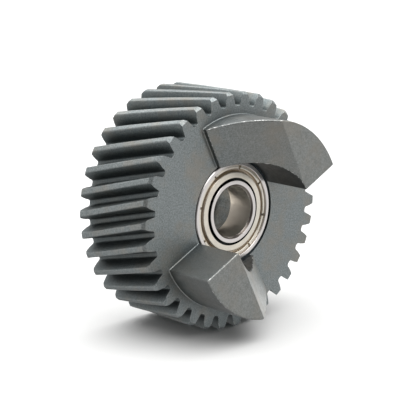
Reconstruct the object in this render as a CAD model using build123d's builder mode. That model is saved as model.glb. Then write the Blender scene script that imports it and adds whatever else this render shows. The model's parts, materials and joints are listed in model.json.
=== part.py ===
"""Helical drive gear with a two-jaw dog clutch, running on two shielded ball bearings.

Frame: the gear's axis is Y and the clutch jaws point along -Y, with +Z up. The origin is on the
axis, half way between the gear's two faces. Angles are measured about the axis, seen from the jaw
side, counter-clockwise from +X. Units are millimetres.
"""

from build123d import *
from math import acos, atan, cos, degrees, hypot, radians, sin, tan
import os

# Helical teeth: a left-hand helix with a normal module of 1.
TEETH = 34
MODULE = 1.0
HELIX_ANGLE = 15.0
PRESSURE_ANGLE = 20.0
FACE_WIDTH = 15.0
FIRST_TOOTH_ANGLE = -2.5  # centre of the first tooth, on the jaw face
TIP_ROUNDING = 0.2
ROOT_FILLET = 0.38
TOOTH_END_CHAMFER = 0.45

# Dog clutch jaws, each about a quarter ring with a flat ramp that climbs to a flat land.
JAWS = 2
JAW_OUTER_R = 15.15
JAW_INNER_R = 8.2
JAW_HEIGHT = 8.35
JAW_SPAN = 89.5
JAW_WALL_ANGLE = 26.5  # where the first jaw's upright driving wall stands
RAMP_START_HEIGHT = 0.65
JAW_EDGE_ROUNDING = 0.22
JAW_BASE_FILLET = 0.15

# Bearings of the 8 x 16 x 5 mm size, one pressed in from each face.
BEARING_BORE_R = 4.0
BEARING_OUTER_R = 8.0
BEARING_WIDTH = 5.0
BEARING_RECESS = 0.05  # from the gear's face to the bearing's face
POCKET_CHAMFER = 0.25
WEB_BORE_R = 5.4  # bore of the gear's web, between the two pockets
WEB_CHAMFER = 0.3

# Ball rows.
BALLS = 10
BALL_R = 1.0
BALL_CIRCLE_R = 6.0  # radius of the circle that the ball centres lie on
RACE_R = 1.04  # radius of the groove's cross-section

# Rings.
OUTER_SHOULDER_R = 6.6
SHIELD_SEAT_R = 7.25
SHIELD_SEAT_DEPTH = 1.05
INNER_SHOULDER_R = 5.4
INNER_FACE_R = 4.9
INNER_STEP_DEPTH = 0.55
RING_CORNER = 0.2  # chamfer on the outer ring's outside corners
BORE_CORNER = 0.3  # chamfer on the inner ring's bore
FINE_CORNER = 0.06

# Shields: a flat washer that steps down to a rim crimped into the outer ring.
SHIELD_BORE_R = 5.25
SHIELD_THICKNESS = 0.2
SHIELD_DEPTH = 0.18  # of the washer's outside, below the bearing's face
SHIELD_STEP_R = 6.2
STEP_LEAN = 0.22  # how far the step leans outwards
CRIMP_BOTTOM = 0.82
CRIMP_TOP = 0.24
CRIMP_INNER_R = 6.7
CRIMP_LEAN = 0.08
CRIMP_SLITS = 8
CRIMP_SLIT_WIDTH = 0.36
FIRST_SLIT_ANGLE = 32.0

# Ribbon cages, each two pressed halves held together by rivets between the balls.
CAGE_THICKNESS = 0.2
CAGE_INNER_R = 5.65
CAGE_OUTER_R = 6.35
CAGE_POCKET_CLEARANCE = 0.05
RIVET_R = 0.18
RIVET_HEAD_R = 0.3
RIVET_HEAD_HEIGHT = 0.12

# Worked out from the dimensions above.
GEAR_PITCH_R = TEETH * MODULE / (2 * cos(radians(HELIX_ANGLE)))
TIP_R = GEAR_PITCH_R + MODULE
ROOT_R = GEAR_PITCH_R - 1.25 * MODULE
TRANSVERSE_PRESSURE = degrees(atan(tan(radians(PRESSURE_ANGLE)) / cos(radians(HELIX_ANGLE))))
BASE_R = GEAR_PITCH_R * cos(radians(TRANSVERSE_PRESSURE))
TWIST = degrees(FACE_WIDTH * tan(radians(HELIX_ANGLE)) / GEAR_PITCH_R)
TOOTH_STEP = 360 / TEETH
BALL_STEP = 360 / BALLS
FRONT_Y = -FACE_WIDTH / 2
REAR_Y = FACE_WIDTH / 2
BEARING_MIDDLE = FACE_WIDTH / 2 - BEARING_RECESS - BEARING_WIDTH / 2
HALF_BEARING = BEARING_WIDTH / 2
TOLERANCE = 1e-4

os.makedirs("parts", exist_ok=True)


def polar(radius, angle):
    """A point of a sketch, from its radius and its angle in degrees."""
    return (radius * cos(radians(angle)), radius * sin(radians(angle)))


def involute(pressure):
    """The involute function of a pressure angle, in degrees."""
    return degrees(tan(radians(pressure))) - pressure


def half_tooth_angle(radius):
    """Half the angle that a tooth takes up at a radius. Below the base circle the flank is radial."""
    pressure = degrees(acos(min(1.0, BASE_R / radius)))
    return 90 / TEETH + involute(TRANSVERSE_PRESSURE) - involute(pressure)


def from_axis(point):
    """How far a point in space is from the gear's axis."""
    return hypot(point.X, point.Z)


def across(y, angle=0.0, facing=-1):
    """The plane square to the axis at y, facing along Y, with its x axis turned to an angle."""
    return Plane((0, y, 0), x_dir=(cos(radians(angle)), 0, sin(radians(angle))), z_dir=(0, facing, 0))


def half_section(middle, outboard):
    """The plane of a bearing's half section: x is the radius and y the height above its middle."""
    return Plane((0, middle, 0), x_dir=(1, 0, 0), z_dir=(0, 0, outboard))


def save(part, name):
    part.label = name
    export_step(part, f"parts/{name}.step")


# ------------------------------------------------------------------ drive gear

# The jaws start inside the chamfer of the bearing pocket, so they stand on solid metal.
with BuildPart() as jaws:
    for jaw in range(JAWS):
        wall_angle = JAW_WALL_ANGLE + jaw * 360 / JAWS
        with BuildSketch(across(FRONT_Y + POCKET_CHAMFER, wall_angle)):
            with BuildLine():
                Line((JAW_INNER_R, 0), (JAW_OUTER_R, 0))
                CenterArc((0, 0), JAW_OUTER_R, 0, JAW_SPAN)
                Line(polar(JAW_OUTER_R, JAW_SPAN), polar(JAW_INNER_R, JAW_SPAN))
                CenterArc((0, 0), JAW_INNER_R, 0, JAW_SPAN)
            make_face()
        extrude(amount=JAW_HEIGHT + POCKET_CHAMFER)
        # The ramp climbs square to the jaw's leading edge, and ends level with the inner corner.
        slope = (JAW_HEIGHT - RAMP_START_HEIGHT) / JAW_INNER_R
        face = across(FRONT_Y, wall_angle)
        with BuildSketch(Plane(face.origin, x_dir=face.x_dir, z_dir=-face.y_dir)):
            with BuildLine():
                Polyline(
                    (-1, RAMP_START_HEIGHT - slope),
                    (JAW_INNER_R, JAW_HEIGHT),
                    (JAW_INNER_R, JAW_HEIGHT + 1),
                    (-1, JAW_HEIGHT + 1),
                    close=True,
                )
            make_face()
        extrude(amount=-JAW_OUTER_R - 1, mode=Mode.SUBTRACT)
    raised_edges = jaws.edges().filter_by(lambda edge: edge.center().Y < FRONT_Y)
    fillet(raised_edges, JAW_EDGE_ROUNDING)

with BuildPart() as drive_gear:
    # The teeth: the section on the rear face, swept forward along the axis with the helix's turn.
    with BuildSketch(across(REAR_Y, FIRST_TOOTH_ANGLE + TWIST)) as section:
        with BuildLine():
            for tooth in range(TEETH):
                middle = tooth * TOOTH_STEP
                rising = [polar(r, middle - half_tooth_angle(r)) for r in (ROOT_R, GEAR_PITCH_R, TIP_R)]
                falling = [polar(r, middle + half_tooth_angle(r)) for r in (TIP_R, GEAR_PITCH_R, ROOT_R)]
                next_root = polar(ROOT_R, middle + TOOTH_STEP - half_tooth_angle(ROOT_R))
                ThreePointArc(*rising)
                ThreePointArc(rising[-1], polar(TIP_R, middle), falling[0])
                ThreePointArc(*falling)
                ThreePointArc(falling[-1], polar(ROOT_R, middle + TOOTH_STEP / 2), next_root)
        make_face()
        corners = section.vertices().group_by(lambda corner: round(Vector(corner).length, 3))
        fillet(corners[-1], TIP_ROUNDING)
        corners = section.vertices().group_by(lambda corner: round(Vector(corner).length, 3))
        fillet(corners[0], ROOT_FILLET)
    axis_line = Edge.make_line((0, REAR_Y, 0), (0, FRONT_Y, 0))
    helix = Edge.make_helix(
        pitch=360 / TWIST * FACE_WIDTH,
        height=FACE_WIDTH,
        radius=TIP_R,
        center=(0, REAR_Y, 0),
        normal=(0, -1, 0),
        lefthand=True,
    )
    sweep(path=axis_line, binormal=helix)

    # The tooth ends are bevelled all round by keeping only what lies inside a bevelled blank.
    with BuildSketch(Plane.XY):
        with BuildLine():
            bevel_start = TIP_R - TOOTH_END_CHAMFER
            Polyline(
                (0, REAR_Y),
                (bevel_start, REAR_Y),
                (TIP_R + 1, REAR_Y - TOOTH_END_CHAMFER - 1),
                (TIP_R + 1, FRONT_Y + TOOTH_END_CHAMFER + 1),
                (bevel_start, FRONT_Y),
                (0, FRONT_Y),
                close=True,
            )
        make_face()
    revolve(axis=Axis.Y, mode=Mode.INTERSECT)

    # A bearing pocket in each face, and the smaller bore of the web between them.
    with BuildSketch(Plane.XY):
        with BuildLine():
            pocket_floor = REAR_Y - BEARING_RECESS - BEARING_WIDTH
            Polyline(
                (0, REAR_Y),
                (BEARING_OUTER_R + POCKET_CHAMFER, REAR_Y),
                (BEARING_OUTER_R, REAR_Y - POCKET_CHAMFER),
                (BEARING_OUTER_R, pocket_floor),
                (WEB_BORE_R + WEB_CHAMFER, pocket_floor),
                (WEB_BORE_R, pocket_floor - WEB_CHAMFER),
                (WEB_BORE_R, 0),
                (0, 0),
                close=True,
            )
        make_face()
        mirror(about=Plane.XZ)
    revolve(axis=Axis.Y, mode=Mode.SUBTRACT)

    add(jaws.part)

    # The fine fillet where each jaw meets the front face, outside the chamfer of the pocket.
    jaw_feet = drive_gear.edges().filter_by(
        lambda edge: abs(edge.center().Y - FRONT_Y) < TOLERANCE
        and BEARING_OUTER_R + POCKET_CHAMFER < from_axis(edge.center()) < JAW_OUTER_R + TOLERANCE
    )
    fillet(jaw_feet, JAW_BASE_FILLET)

save(drive_gear.part, "drive_gear")


# -------------------------------------------------------------------- bearings


def outer_ring(middle, outboard):
    """The pressed-in ring: two shield seats, two shoulders and the ball groove."""
    with BuildPart() as ring:
        with BuildSketch(half_section(middle, outboard)):
            with BuildLine():
                Polyline(
                    (OUTER_SHOULDER_R, 0),
                    (OUTER_SHOULDER_R, HALF_BEARING - SHIELD_SEAT_DEPTH),
                    (SHIELD_SEAT_R, HALF_BEARING - SHIELD_SEAT_DEPTH),
                    (SHIELD_SEAT_R, HALF_BEARING - FINE_CORNER),
                    (SHIELD_SEAT_R + FINE_CORNER, HALF_BEARING),
                    (BEARING_OUTER_R - RING_CORNER, HALF_BEARING),
                    (BEARING_OUTER_R, HALF_BEARING - RING_CORNER),
                    (BEARING_OUTER_R, 0),
                    close=True,
                )
            make_face()
            mirror(about=Plane.XZ)
            with Locations((BALL_CIRCLE_R, 0)):
                Circle(RACE_R, mode=Mode.SUBTRACT)
        revolve(axis=Axis.Y)
    return ring.part


def inner_ring(middle, outboard):
    """The ring on the shaft: its ends are stepped down to let the shields come close."""
    with BuildPart() as ring:
        with BuildSketch(half_section(middle, outboard)):
            with BuildLine():
                Polyline(
                    (BEARING_BORE_R, 0),
                    (BEARING_BORE_R, HALF_BEARING - BORE_CORNER),
                    (BEARING_BORE_R + BORE_CORNER, HALF_BEARING),
                    (INNER_FACE_R - FINE_CORNER, HALF_BEARING),
                    (INNER_FACE_R, HALF_BEARING - FINE_CORNER),
                    (INNER_FACE_R, HALF_BEARING - INNER_STEP_DEPTH),
                    (INNER_SHOULDER_R, HALF_BEARING - INNER_STEP_DEPTH),
                    (INNER_SHOULDER_R, 0),
                    close=True,
                )
            make_face()
            mirror(about=Plane.XZ)
            with Locations((BALL_CIRCLE_R, 0)):
                Circle(RACE_R, mode=Mode.SUBTRACT)
        revolve(axis=Axis.Y)
    return ring.part


def shield(middle, outboard):
    """A pressed washer with a step, and a slit rim that is crimped against the outer ring."""
    washer_outside = HALF_BEARING - SHIELD_DEPTH
    washer_inside = washer_outside - SHIELD_THICKNESS
    crimp_bottom = HALF_BEARING - CRIMP_BOTTOM
    crimp_top = HALF_BEARING - CRIMP_TOP
    seat = HALF_BEARING - SHIELD_SEAT_DEPTH
    step_inside_r = SHIELD_STEP_R - SHIELD_THICKNESS
    # Each corner of the section: its radius from the axis, its height, and its rounding.
    corners = [
        (SHIELD_BORE_R, washer_outside, 0.05),
        (SHIELD_STEP_R, washer_outside, 0.16),
        (SHIELD_STEP_R + STEP_LEAN, crimp_bottom, 0.08),
        (CRIMP_INNER_R - CRIMP_LEAN, crimp_bottom, 0.05),
        (CRIMP_INNER_R, crimp_top, 0.16),
        (SHIELD_SEAT_R, crimp_top, 0.2),
        (SHIELD_SEAT_R, seat, 0.08),
        (step_inside_r + STEP_LEAN, seat, 0.12),
        (step_inside_r, washer_inside, 0.05),
        (SHIELD_BORE_R, washer_inside, 0.05),
    ]
    with BuildPart() as washer:
        with BuildSketch(half_section(middle, outboard)):
            with BuildLine():
                FilletPolyline(*[(x, y) for x, y, _ in corners], radius=[r for *_, r in corners], close=True)
            make_face()
        revolve(axis=Axis.Y)
        rim_width = SHIELD_SEAT_R - CRIMP_INNER_R
        with BuildSketch(across(middle + outboard * crimp_top, FIRST_SLIT_ANGLE, outboard)):
            with PolarLocations(CRIMP_INNER_R + rim_width / 2, CRIMP_SLITS):
                Rectangle(rim_width + 0.1, CRIMP_SLIT_WIDTH)
        extrude(amount=crimp_bottom - crimp_top, mode=Mode.SUBTRACT)
    return washer.part


def cage_half(middle, outboard):
    """One pressed half of the ribbon cage: a flat ring with a domed half pocket over each ball."""
    pocket_r = BALL_R + CAGE_POCKET_CLEARANCE
    with BuildPart(across(middle, 0, outboard)) as half:
        with PolarLocations(BALL_CIRCLE_R, BALLS):
            Sphere(pocket_r + CAGE_THICKNESS)
        with BuildSketch(across(middle, 0, outboard)):
            Circle(CAGE_OUTER_R)
            Circle(CAGE_INNER_R, mode=Mode.SUBTRACT)
        extrude(amount=pocket_r + CAGE_THICKNESS, mode=Mode.INTERSECT)
        with BuildSketch(across(middle, 0, outboard)):
            Circle(CAGE_OUTER_R)
            Circle(CAGE_INNER_R, mode=Mode.SUBTRACT)
            with PolarLocations(BALL_CIRCLE_R, BALLS, start_angle=BALL_STEP / 2):
                Circle(RIVET_R, mode=Mode.SUBTRACT)
        extrude(amount=CAGE_THICKNESS)
        with PolarLocations(BALL_CIRCLE_R, BALLS):
            Sphere(pocket_r, mode=Mode.SUBTRACT)
    return half.part


def cage_rivets(middle):
    """The rivets that hold the two cage halves together, one between each pair of balls."""
    head_middle = CAGE_THICKNESS + RIVET_HEAD_HEIGHT / 2
    with BuildPart(across(middle)) as rivets:
        with PolarLocations(BALL_CIRCLE_R, BALLS, start_angle=BALL_STEP / 2):
            Cylinder(RIVET_R, 2 * CAGE_THICKNESS)
            with Locations((0, 0, head_middle), (0, 0, -head_middle)):
                Cylinder(RIVET_HEAD_R, RIVET_HEAD_HEIGHT)
    return rivets.part


def ball(middle, angle):
    centre = across(middle).from_local_coords(polar(BALL_CIRCLE_R, angle))
    with BuildPart(Plane(centre)) as sphere:
        Sphere(BALL_R)
    return sphere.part


for side, outboard in (("front", -1), ("rear", 1)):
    middle = outboard * BEARING_MIDDLE
    save(outer_ring(middle, outboard), f"{side}_bearing_outer_ring")
    save(inner_ring(middle, outboard), f"{side}_bearing_inner_ring")
    save(shield(middle, outboard), f"{side}_bearing_outboard_shield")
    save(shield(middle, -outboard), f"{side}_bearing_inboard_shield")
    save(cage_half(middle, outboard), f"{side}_bearing_cage_outboard_half")
    save(cage_half(middle, -outboard), f"{side}_bearing_cage_inboard_half")
    save(cage_rivets(middle), f"{side}_bearing_cage_rivets")
    for number in range(BALLS):
        save(ball(middle, number * BALL_STEP), f"{side}_bearing_ball_{number + 1:02d}")
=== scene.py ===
"""Looks of the helical drive gear: materials, soft studio light and the camera."""

import json
from math import cos, radians, sin

import bpy
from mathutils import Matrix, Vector


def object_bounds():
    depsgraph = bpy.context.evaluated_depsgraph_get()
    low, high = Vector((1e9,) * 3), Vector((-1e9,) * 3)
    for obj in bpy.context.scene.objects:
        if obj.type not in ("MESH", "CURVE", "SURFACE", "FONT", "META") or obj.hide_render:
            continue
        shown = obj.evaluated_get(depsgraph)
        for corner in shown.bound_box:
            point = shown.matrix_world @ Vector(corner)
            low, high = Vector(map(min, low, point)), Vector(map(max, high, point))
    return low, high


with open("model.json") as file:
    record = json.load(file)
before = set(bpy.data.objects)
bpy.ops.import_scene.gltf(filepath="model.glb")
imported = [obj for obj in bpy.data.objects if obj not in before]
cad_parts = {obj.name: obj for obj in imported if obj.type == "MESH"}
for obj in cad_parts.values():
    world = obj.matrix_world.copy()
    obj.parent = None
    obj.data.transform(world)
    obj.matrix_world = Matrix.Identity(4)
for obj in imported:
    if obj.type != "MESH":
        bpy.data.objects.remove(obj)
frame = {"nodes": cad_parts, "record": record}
cad_low, cad_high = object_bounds()
MM = 0.001

# The CAD's own dimensions in millimetres, which place the finishes that change across a piece.
FACE_Y = 7.5  # the rim's two end faces, from the gear's middle
BEARING_FACE_Y = 7.45  # the bearings' outer faces
TIP_R = 18.6
ROOT_R = 16.35
JAW_INNER_R = 8.2
OUTER_RING_R = 8.0
INNER_FACE_R = 4.9  # outside of the inner ring's end face
INNER_SHOULDER_R = 5.4  # the inner ring's shoulder, just below that face
BORE_R = 4.0
SHIELD_BORE_R = 5.25
SHIELD_STEP_R = 6.2
CRIMP_INNER_R = 6.7

# Painted shade: the near-black colour of the shaded gaps at the bearing's seams and at the shield's inner
# edge.
GAP_SHADE_BLACK = (0.015, 0.018, 0.018, 1)


# ---------------------------------------------------------------- node helpers


def make(tree, kind, inputs=None, **settings):
    """A shader node with its settings, whose inputs are given as values or as sockets to link."""
    item = tree.nodes.new("ShaderNode" + kind)
    for name, value in settings.items():
        setattr(item, name, value)
    for name, value in (inputs or {}).items():
        if isinstance(value, bpy.types.NodeSocket):
            tree.links.new(value, item.inputs[name])
        else:
            item.inputs[name].default_value = value
    return item


def maths(tree, operation, first, second=0.0):
    return make(tree, "Math", {0: first, 1: second}, operation=operation).outputs[0]


def times(tree, first, second):
    return maths(tree, "MULTIPLY", first, second)


def scaled(tree, value, low, high, to_low, to_high):
    """A value's range mapped to another, with its ends held."""
    inputs = {"Value": value, "From Min": low, "From Max": high, "To Min": to_low, "To Max": to_high}
    return make(tree, "MapRange", inputs).outputs["Result"]


def above(tree, value, edge, blur):
    """0 up to an edge and 1 past its blur."""
    return scaled(tree, value, edge, edge + blur, 0.0, 1.0)


def below(tree, value, edge, blur):
    """1 up to an edge and 0 past its blur."""
    return scaled(tree, value, edge, edge + blur, 1.0, 0.0)


def mixed(tree, factor, first, second):
    """The first colour where factor is 0, and the second where it is 1."""
    blend = make(tree, "Mix", data_type="RGBA")
    for socket, value in zip(("Factor_Float", "A_Color", "B_Color"), (factor, first, second)):
        entry = next(s for s in blend.inputs if s.identifier == socket)
        if isinstance(value, bpy.types.NodeSocket):
            tree.links.new(value, entry)
        else:
            entry.default_value = value
    return next(s for s in blend.outputs if s.identifier == "Result_Color")


def millimetres(tree):
    """The object's own coordinates, in millimetres."""
    position = make(tree, "TexCoord").outputs["Object"]
    return make(tree, "VectorMath", {0: position, "Scale": 1 / MM}, operation="SCALE").outputs[0]


def noise(tree, position, scale, detail=3.0, roughness=0.55):
    inputs = {"Vector": position, "Scale": scale, "Detail": detail, "Roughness": roughness}
    return make(tree, "TexNoise", inputs).outputs["Fac"]


def from_axis(tree, position):
    """The distance from the gear's axis."""
    flat = make(tree, "VectorMath", {0: position, 1: (1, 0, 1)}, operation="MULTIPLY").outputs[0]
    return make(tree, "VectorMath", {0: flat}, operation="LENGTH").outputs["Value"]


def from_middle(tree, position):
    """The distance along the axis from the middle of the gear."""
    return maths(tree, "ABSOLUTE", make(tree, "SeparateXYZ", {0: position}).outputs["Y"])


def lathe_lines(tree, position, per_mm):
    """Fine rings left by turning and grinding: noise that changes only with radius and height."""
    height = make(tree, "SeparateXYZ", {0: position}).outputs["Y"]
    along = maths(tree, "ADD", from_axis(tree, position), times(tree, height, 1.3))
    inputs = {"W": along, "Scale": per_mm, "Detail": 4.0}
    return make(tree, "TexNoise", inputs, noise_dimensions="1D").outputs["Fac"]


def edge_wear_and_highlight(tree, radius_mm):
    """About 0 on open faces and 1 along convex and concave edges, where bare worn steel and painted edge
    highlights go.
    """
    rounded = make(tree, "Bevel", {"Radius": radius_mm * MM}, samples=6).outputs[0]
    normal = make(tree, "NewGeometry").outputs["Normal"]
    along = make(tree, "VectorMath", {0: rounded, 1: normal}, operation="DOT_PRODUCT").outputs["Value"]
    return below(tree, along, 0.86, 0.14)


def recess_shade(tree, reach_mm):
    """About 0 on open faces and 1 deep in corners and gaps, or close to the floor, where painted shade goes.
    """
    openness = make(tree, "AmbientOcclusion", {"Distance": reach_mm * MM}, samples=8).outputs["AO"]
    return below(tree, openness, 0.3, 0.5)


def new_material(name):
    material = bpy.data.materials.new(name)
    material.use_nodes = True
    tree = material.node_tree
    return material, tree, tree.nodes["Principled BSDF"]


def finished(material, tree, shader, colour, roughness, metallic=1.0, normal=None):
    """The material, once its colour, roughness and bumps reach its shader."""
    tree.links.new(colour, shader.inputs["Base Color"])
    tree.links.new(roughness, shader.inputs["Roughness"])
    shader.inputs["Metallic"].default_value = metallic
    if normal:
        tree.links.new(normal, shader.inputs["Normal"])
    return material


def bumped(tree, height, depth_mm, strength):
    inputs = {"Height": height, "Distance": depth_mm * MM, "Strength": strength}
    return make(tree, "Bump", inputs).outputs["Normal"]


# ------------------------------------------------------------------- materials


def facing_along_axis(tree):
    """How much a face looks along the gear's axis: 0 on teeth and walls, 1 on the end faces."""
    normal = make(tree, "TexCoord").outputs["Normal"]
    return maths(tree, "ABSOLUTE", make(tree, "SeparateXYZ", {0: normal}).outputs["Y"])


def facing_sideways(tree):
    """1 on faces that run along the axis, and 0 on the gear's end faces and the jaws' ramps."""
    return below(tree, facing_along_axis(tree), 0.45, 0.15)


def tooth_flanks(tree, position):
    """1 on the sides and bottoms of the tooth gaps, and 0 on the lands and everywhere else."""
    radius = from_axis(tree, position)
    outside_jaws = above(tree, radius, ROOT_R - 0.35, 0.3)
    below_lands = below(tree, radius, TIP_R - 0.3, 0.2)
    return times(tree, times(tree, outside_jaws, below_lands), facing_sideways(tree))


def jaw_sides(tree, position):
    """1 on the jaws' upright walls and curved sides."""
    on_jaws = above(tree, from_middle(tree, position), FACE_Y, 0.3)
    return times(tree, on_jaws, facing_sideways(tree))


def jaw_edges(tree, position):
    """1 along the rounded edges of the jaws' ramps and lands, where they turn from end to side."""
    on_jaws = above(tree, from_middle(tree, position), FACE_Y + 0.4, 0.2)
    endwards = facing_along_axis(tree)
    turned_out = above(tree, endwards, 0.1, 0.15)
    not_flat = below(tree, endwards, 0.6, 0.08)
    return times(tree, on_jaws, times(tree, turned_out, not_flat))


def pocket_seam_shade(tree, position):
    """1 on the gear's side of the seam round each bearing, where painted shade goes."""
    radius = from_axis(tree, position)
    outside_ring = above(tree, radius, OUTER_RING_R - 0.1, 0.05)
    inside_chamfer = below(tree, radius, OUTER_RING_R + 0.26, 0.04)
    below_face = below(tree, from_middle(tree, position), FACE_Y - 0.01, 0.01)
    return times(tree, times(tree, outside_ring, inside_chamfer), below_face)


def blackened_steel():
    """Sintered and blackened steel: speckled and mottled brown, with painted shade in the tooth gaps, on the
    jaws' sides, round the bearings and in recesses, and bare chipped edges that also serve as painted edge
    highlights.
    """
    material, tree, shader = new_material("blackened_steel")
    place = millimetres(tree)
    radius = from_axis(tree, place)
    height = from_middle(tree, place)
    speck = noise(tree, place, 4.0, detail=6.0, roughness=0.85)
    cloud = noise(tree, place, 0.22, detail=3.0)
    stain = noise(tree, place, 0.6, detail=6.0, roughness=0.65)
    chips = noise(tree, place, 2.2, detail=5.0, roughness=0.7)

    dark, light = (0.165, 0.187, 0.19, 1), (0.335, 0.362, 0.363, 1)
    steel = mixed(tree, above(tree, speck, 0.4, 0.2), dark, light)
    brown = scaled(tree, maths(tree, "ADD", cloud, times(tree, stain, 0.5)), 0.7, 0.95, 0.0, 0.6)
    steel = mixed(tree, brown, steel, (0.3, 0.275, 0.235, 1))
    browner_jaws = scaled(tree, height, FACE_Y + 0.3, FACE_Y + 4.5, 0.0, 0.35)
    steel = mixed(tree, browner_jaws, steel, (0.255, 0.235, 0.205, 1))

    flanks = tooth_flanks(tree, place)
    # Painted shade: the sides and bottoms of the tooth gaps are painted darker.
    steel = mixed(tree, times(tree, flanks, 0.35), steel, (0.055, 0.078, 0.084, 1))
    sparkle = scaled(tree, speck, 0.56, 0.66, 0.0, 0.6)
    steel = mixed(tree, times(tree, flanks, sparkle), steel, (0.3, 0.27, 0.23, 1))

    # Painted shade: the jaws' walls and curved sides are painted darker, and darkest on their inner side
    # next to the bearing.
    sides = jaw_sides(tree, place)
    steel = mixed(tree, times(tree, sides, 0.5), steel, (0.085, 0.094, 0.096, 1))
    shade_towards_ring = scaled(tree, radius, JAW_INNER_R + 0.1, JAW_INNER_R + 0.2, 0.6, 0.0)
    steel = mixed(tree, times(tree, sides, shade_towards_ring), steel, (0.03, 0.034, 0.035, 1))

    # Painted shade: the pocket's chamfer round each bearing is painted near black.
    seam = pocket_seam_shade(tree, place)
    steel = mixed(tree, seam, steel, (0.012, 0.016, 0.018, 1))
    # Painted shade: corners, gaps and faces close to the floor are darkened by ambient occlusion.
    painted_shade = times(tree, recess_shade(tree, 5.0), 0.75)
    steel = mixed(tree, painted_shade, steel, (0.03, 0.04, 0.042, 1))

    # Bare steel where the edges are chipped, which also serves as painted highlights along the edges.
    edges = maths(tree, "MAXIMUM", edge_wear_and_highlight(tree, 0.12), jaw_edges(tree, place))
    wear_and_highlight = times(tree, edges, scaled(tree, chips, 0.53, 0.58, 0.0, 0.85))
    wear_and_highlight = times(tree, wear_and_highlight, maths(tree, "SUBTRACT", 1.0, seam))
    steel = mixed(tree, wear_and_highlight, steel, (0.62, 0.62, 0.61, 1))

    dull = scaled(tree, noise(tree, place, 1.1, detail=4.0), 0.3, 0.7, 0.38, 0.54)
    roughness = maths(tree, "SUBTRACT", dull, times(tree, wear_and_highlight, 0.15))
    return finished(material, tree, shader, steel, roughness, 0.9, bumped(tree, speck, 0.02, 0.5))


def ring_steel():
    """Ground bearing steel: bright faces and a warmer bore, with painted shade darkening the bore's chamfer
    and painted near-black shade in the seams.
    """
    material, tree, shader = new_material("ring_steel")
    place = millimetres(tree)
    radius = from_axis(tree, place)
    lines = lathe_lines(tree, place, 16.0)
    cloud = noise(tree, place, 0.9, detail=4.0)
    dull, bright = (0.7, 0.665, 0.645, 1), (0.88, 0.84, 0.82, 1)
    steel = mixed(tree, above(tree, lines, 0.3, 0.4), dull, bright)
    # Painted shade: the bore's chamfer is painted dark, standing in for the dark surroundings it reflects.
    chamfer = below(tree, radius, BORE_R + 0.26, 0.02)
    steel = mixed(tree, chamfer, steel, (0.22, 0.19, 0.17, 1))
    bore = below(tree, radius, BORE_R + 0.01, 0.03)
    steel = mixed(tree, bore, steel, (0.84, 0.79, 0.72, 1))

    # Painted shade: the seams at the shield's inner edge and round the outer ring's rim are painted near
    # black.
    past_end_face = above(tree, radius, INNER_FACE_R - 0.04, 0.03)
    on_inner_ring = below(tree, radius, INNER_SHOULDER_R + 0.1, 0.1)
    below_face = below(tree, from_middle(tree, place), BEARING_FACE_Y - 0.05, 0.04)
    shield_gap_shade = times(tree, times(tree, past_end_face, on_inner_ring), below_face)
    outer_gap_shade = above(tree, radius, OUTER_RING_R - 0.1, 0.05)
    steel = mixed(tree, maths(tree, "MAXIMUM", shield_gap_shade, outer_gap_shade), steel, GAP_SHADE_BLACK)

    roughness = scaled(tree, cloud, 0.3, 0.7, 0.28, 0.38)
    return finished(material, tree, shader, steel, roughness, normal=bumped(tree, lines, 0.003, 0.4))


def shield_steel():
    """Pressed shield: a creamy satin with faint marks of pressing, painted brown shade at the step and
    painted near-black shade at the inner edge.
    """
    material, tree, shader = new_material("shield_steel")
    place = millimetres(tree)
    radius = from_axis(tree, place)
    grain = noise(tree, place, 7.0, detail=4.0)
    cloud = noise(tree, place, 0.7, detail=4.0)
    cream, dull_cream = (0.86, 0.81, 0.71, 1), (0.76, 0.71, 0.62, 1)
    steel = mixed(tree, above(tree, cloud, 0.35, 0.35), cream, dull_cream)
    steel = mixed(tree, scaled(tree, grain, 0.55, 0.8, 0.0, 0.35), steel, (0.5, 0.44, 0.36, 1))

    # Painted shade: the step down to the crimp is painted brown.
    from_step = above(tree, radius, SHIELD_STEP_R - 0.04, 0.06)
    up_to_crimp = below(tree, radius, CRIMP_INNER_R - 0.1, 0.06)
    step = times(tree, from_step, up_to_crimp)
    steel = mixed(tree, times(tree, step, 0.6), steel, (0.42, 0.34, 0.27, 1))
    # Painted shade: the shield's inner edge, by the gap to the inner ring, is painted near black.
    inner_edge_shade = below(tree, radius, SHIELD_BORE_R + 0.02, 0.04)
    steel = mixed(tree, inner_edge_shade, steel, GAP_SHADE_BLACK)

    roughness = scaled(tree, grain, 0.3, 0.7, 0.3, 0.42)
    return finished(material, tree, shader, steel, roughness, normal=bumped(tree, grain, 0.006, 0.4))


def cage_steel():
    """Pressed ribbon: dull bright steel, a little uneven."""
    material, tree, shader = new_material("cage_steel")
    grain = noise(tree, millimetres(tree), 9.0, detail=4.0)
    steel = mixed(tree, above(tree, grain, 0.3, 0.4), (0.5, 0.47, 0.43, 1), (0.66, 0.63, 0.58, 1))
    roughness = scaled(tree, grain, 0.3, 0.7, 0.32, 0.45)
    return finished(material, tree, shader, steel, roughness, normal=bumped(tree, grain, 0.006, 0.4))


def ball_steel():
    """Lapped balls: a mirror finish with a film of grease that varies the gloss."""
    material, tree, shader = new_material("ball_steel")
    film = noise(tree, millimetres(tree), 2.0, detail=4.0)
    clean, greasy = (0.86, 0.86, 0.87, 1), (0.76, 0.75, 0.73, 1)
    steel = mixed(tree, above(tree, film, 0.35, 0.3), clean, greasy)
    roughness = scaled(tree, film, 0.35, 0.65, 0.05, 0.14)
    return finished(material, tree, shader, steel, roughness)


finishes = {
    "blackened_steel": blackened_steel(),
    "ring_steel": ring_steel(),
    "shield_steel": shield_steel(),
    "cage_steel": cage_steel(),
    "ball_steel": ball_steel(),
}
for subpart in frame["record"]["subparts"]:
    node = frame["nodes"][subpart["node"]]
    node.data.materials.clear()
    node.data.materials.append(finishes[subpart["material_slot"]])


# ------------------------------------------------------------- floor and light


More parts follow.
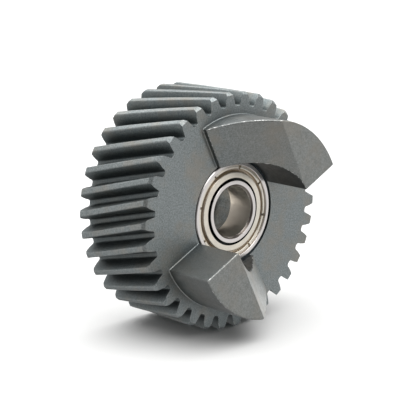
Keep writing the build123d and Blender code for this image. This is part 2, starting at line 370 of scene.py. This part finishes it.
def aimed(azimuth, elevation):
    """The direction from the origin towards an azimuth and elevation. The jaws face azimuth 0."""
    a, e = radians(azimuth), radians(elevation)
    return Vector((sin(a) * cos(e), -cos(a) * cos(e), sin(e)))


def floor():
    """A pale floor that the gear's rim stands on. The metal mirrors the light tent in place of it."""
    bpy.ops.mesh.primitive_plane_add(size=8.0, location=(0, 0, cad_low.z))
    plane = bpy.context.object
    plane.name = "floor"
    plane.visible_glossy = False
    material, tree, shader = new_material("floor")
    shader.inputs["Base Color"].default_value = (0.72, 0.72, 0.715, 1)
    shader.inputs["Roughness"].default_value = 0.9
    shader.inputs["Specular IOR Level"].default_value = 0.1
    plane.data.materials.append(material)


def light_tent(opening, brightness, darkness, back_brightness, panel, panel_brightness):
    """A white tent, dimmer opposite its soft-edged dark opening and underneath, with one bright panel.

    Its limits are cosines of the angle from the opening's middle, the panel's middle or straight up.
    """
    world = bpy.data.worlds.new("studio")
    bpy.context.scene.world = world
    world.use_nodes = True
    tree = world.node_tree
    direction = make(tree, "TexCoord").outputs["Generated"]
    towards = make(tree, "VectorMath", {0: direction, 1: opening}, operation="DOT_PRODUCT").outputs["Value"]
    around_opening = scaled(tree, towards, 0.55, 1.0, brightness, darkness)
    around_opening.node.interpolation_type = "SMOOTHSTEP"
    behind = scaled(tree, towards, -0.75, -0.1, back_brightness, brightness)
    height = make(tree, "SeparateXYZ", {0: direction}).outputs["Z"]
    underneath = scaled(tree, height, -0.9, -0.2, 0.8, 1.0)
    strength = times(tree, maths(tree, "MINIMUM", around_opening, behind), underneath)
    near_panel = make(tree, "VectorMath", {0: direction, 1: panel}, operation="DOT_PRODUCT").outputs["Value"]
    strength = maths(tree, "ADD", strength, scaled(tree, near_panel, 0.88, 0.97, 0.0, panel_brightness))
    background = tree.nodes["Background"]
    background.inputs["Color"].default_value = (1, 1, 1, 1)
    tree.links.new(strength, background.inputs["Strength"])


def overhead(direction, spread, strength):
    """A broad soft light from far away, which lights the whole floor evenly."""
    light = bpy.data.lights.new("overhead", "SUN")
    light.angle = radians(spread)
    light.energy = strength
    lamp = bpy.data.objects.new("overhead", light)
    bpy.context.scene.collection.objects.link(lamp)
    lamp.rotation_euler = (-direction).to_track_quat("-Z", "Y").to_euler()


def studio():
    light_tent(
        opening=aimed(-44, 10),
        brightness=0.88,
        darkness=0.1,
        back_brightness=0.4,
        panel=aimed(106, -7),
        panel_brightness=1.4,
    )
    overhead(aimed(100, 84), spread=100, strength=3.8)
    bpy.context.scene.view_settings.view_transform = "Standard"


# ---------------------------------------------------------------------- camera


def camera(azimuth, elevation, distance, target, lens):
    data = bpy.data.cameras.new("camera")
    data.lens = lens
    data.sensor_width = 36
    data.clip_start = 0.01
    eye = bpy.data.objects.new("camera", data)
    bpy.context.scene.collection.objects.link(eye)
    back = aimed(azimuth, elevation)
    eye.location = Vector(target) + back * distance
    eye.rotation_euler = (-back).to_track_quat("-Z", "Y").to_euler()
    bpy.context.scene.camera = eye


floor()
studio()
camera(azimuth=-43.65, elevation=12.53, distance=225.3 * MM, target=Vector((0, 0.05, 0.66)) * MM, lens=128.7)
